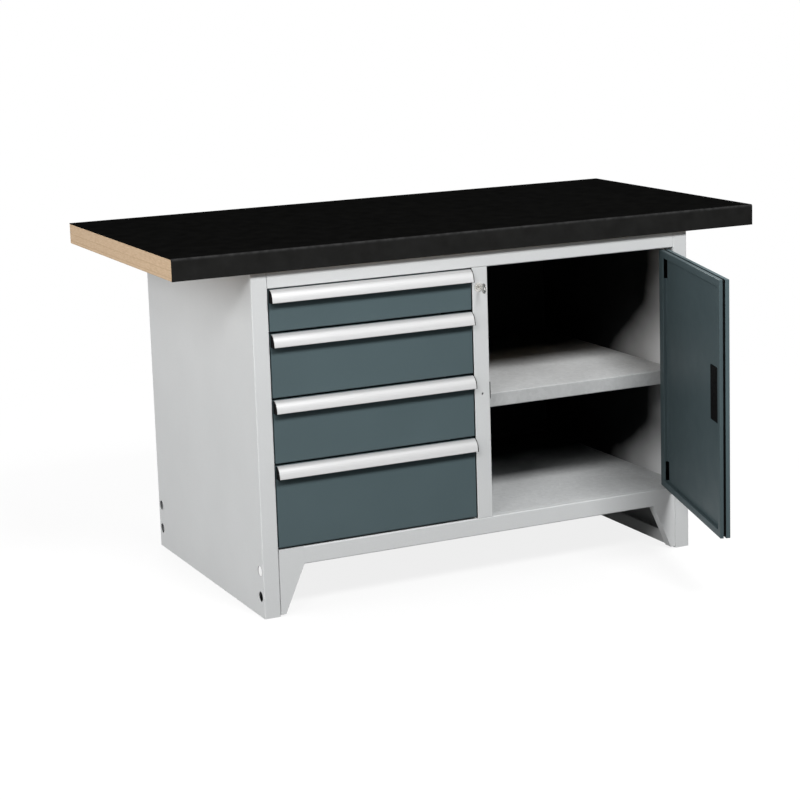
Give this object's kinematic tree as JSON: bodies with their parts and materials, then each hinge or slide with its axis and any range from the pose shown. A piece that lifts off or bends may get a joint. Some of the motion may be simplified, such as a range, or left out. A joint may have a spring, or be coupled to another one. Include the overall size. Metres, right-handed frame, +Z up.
{
  "type": "workbench with cabinet doors",
  "caption": "Workbench with a covered wooden worktop on a folded sheet-steel body, drawers with bar grips on one side and a hinged-door cabinet with a shelf on the other.",
  "frame": {"origin": "on the floor, in the middle of the footprint that the bench makes with its door standing open at rest", "axes": "+X to the right along the worktop as seen from the front, +Y to the back, +Z up"},
  "size_m": [1.5, 1.201, 0.84],
  "materials": {
    "beech_core": "bare sanded beech, plies seen at the ends",
    "black_cover": "satin black",
    "grip_aluminium": "satin anodised",
    "black_plastic": "moulded matt black",
    "anthracite_paint": "fine-grained powder coat, blue grey",
    "nickel_plate": "polished nickel",
    "zinc_steel": "zinc plated",
    "grey_paint": "fine-grained powder coat, light grey"
  },
  "bodies": {
    "bench_body": {"worktop_cover": "black_cover", "worktop_core": "beech_core", "left_side_panel": "grey_paint", "right_side_panel": "grey_paint", "back_panel": "grey_paint", "top_front_rail": "grey_paint", "top_rear_rail": "grey_paint", "bottom_front_rail": "grey_paint", "bottom_rear_rail": "grey_paint", "body_floor": "grey_paint", "left_foot_gusset": "grey_paint", "right_foot_gusset": "grey_paint", "centre_partition": "grey_paint", "runner_wall": "grey_paint", "lock_housing": "nickel_plate", "door_catch": "black_plastic", "shelf": "grey_paint", "left_shelf_rail": "zinc_steel", "right_shelf_rail": "zinc_steel", "drawer_1_left_rail": "zinc_steel", "drawer_1_right_rail": "zinc_steel", "drawer_2_left_rail": "zinc_steel", "drawer_2_right_rail": "zinc_steel", "drawer_3_left_rail": "zinc_steel", "drawer_3_right_rail": "zinc_steel", "drawer_4_left_rail": "zinc_steel", "drawer_4_right_rail": "zinc_steel", "hinge_bush_top": "zinc_steel", "hinge_bush_bottom": "zinc_steel"},
    "door": {"door_outer_pan": "anthracite_paint", "door_inner_panel": "anthracite_paint", "door_edge_frame": "black_plastic", "door_grip_shell": "black_plastic", "hinge_pin_top": "zinc_steel", "hinge_pin_bottom": "zinc_steel"},
    "lock": {"lock_plug": "nickel_plate", "lock_key": "nickel_plate", "lock_cam": "zinc_steel"},
    "drawer_1": {"drawer_1_front": "anthracite_paint", "drawer_1_grip": "grip_aluminium", "drawer_1_left_cap": "black_plastic", "drawer_1_right_cap": "black_plastic", "drawer_1_tub": "grey_paint"},
    "drawer_2": {"drawer_2_front": "anthracite_paint", "drawer_2_grip": "grip_aluminium", "drawer_2_left_cap": "black_plastic", "drawer_2_right_cap": "black_plastic", "drawer_2_tub": "grey_paint"},
    "drawer_3": {"drawer_3_front": "anthracite_paint", "drawer_3_grip": "grip_aluminium", "drawer_3_left_cap": "black_plastic", "drawer_3_right_cap": "black_plastic", "drawer_3_tub": "grey_paint"},
    "drawer_4": {"drawer_4_front": "anthracite_paint", "drawer_4_grip": "grip_aluminium", "drawer_4_left_cap": "black_plastic", "drawer_4_right_cap": "black_plastic", "drawer_4_tub": "grey_paint"}
  },
  "joints": [
    {"name": "door_hinge", "type": "hinge", "parent": "bench_body", "child": "door", "pos_m": [0.5135, -0.12954, 0.4535], "axis": [0, 0, 1], "range_deg": [-73, 37]},
    {"name": "drawer_1_slide", "type": "slide", "parent": "bench_body", "child": "drawer_1", "axis": [0, -1, 0], "range_m": [0, 0.46]},
    {"name": "drawer_2_slide", "type": "slide", "parent": "bench_body", "child": "drawer_2", "axis": [0, -1, 0], "range_m": [0, 0.46]},
    {"name": "drawer_3_slide", "type": "slide", "parent": "bench_body", "child": "drawer_3", "axis": [0, -1, 0], "range_m": [0, 0.46]},
    {"name": "drawer_4_slide", "type": "slide", "parent": "bench_body", "child": "drawer_4", "axis": [0, -1, 0], "range_m": [0, 0.46]},
    {"name": "lock_turn", "type": "hinge", "parent": "bench_body", "child": "lock", "pos_m": [-0.004, -0.13754, 0.706], "axis": [0, 1, 0], "range_deg": [0, 90]}
  ]
}
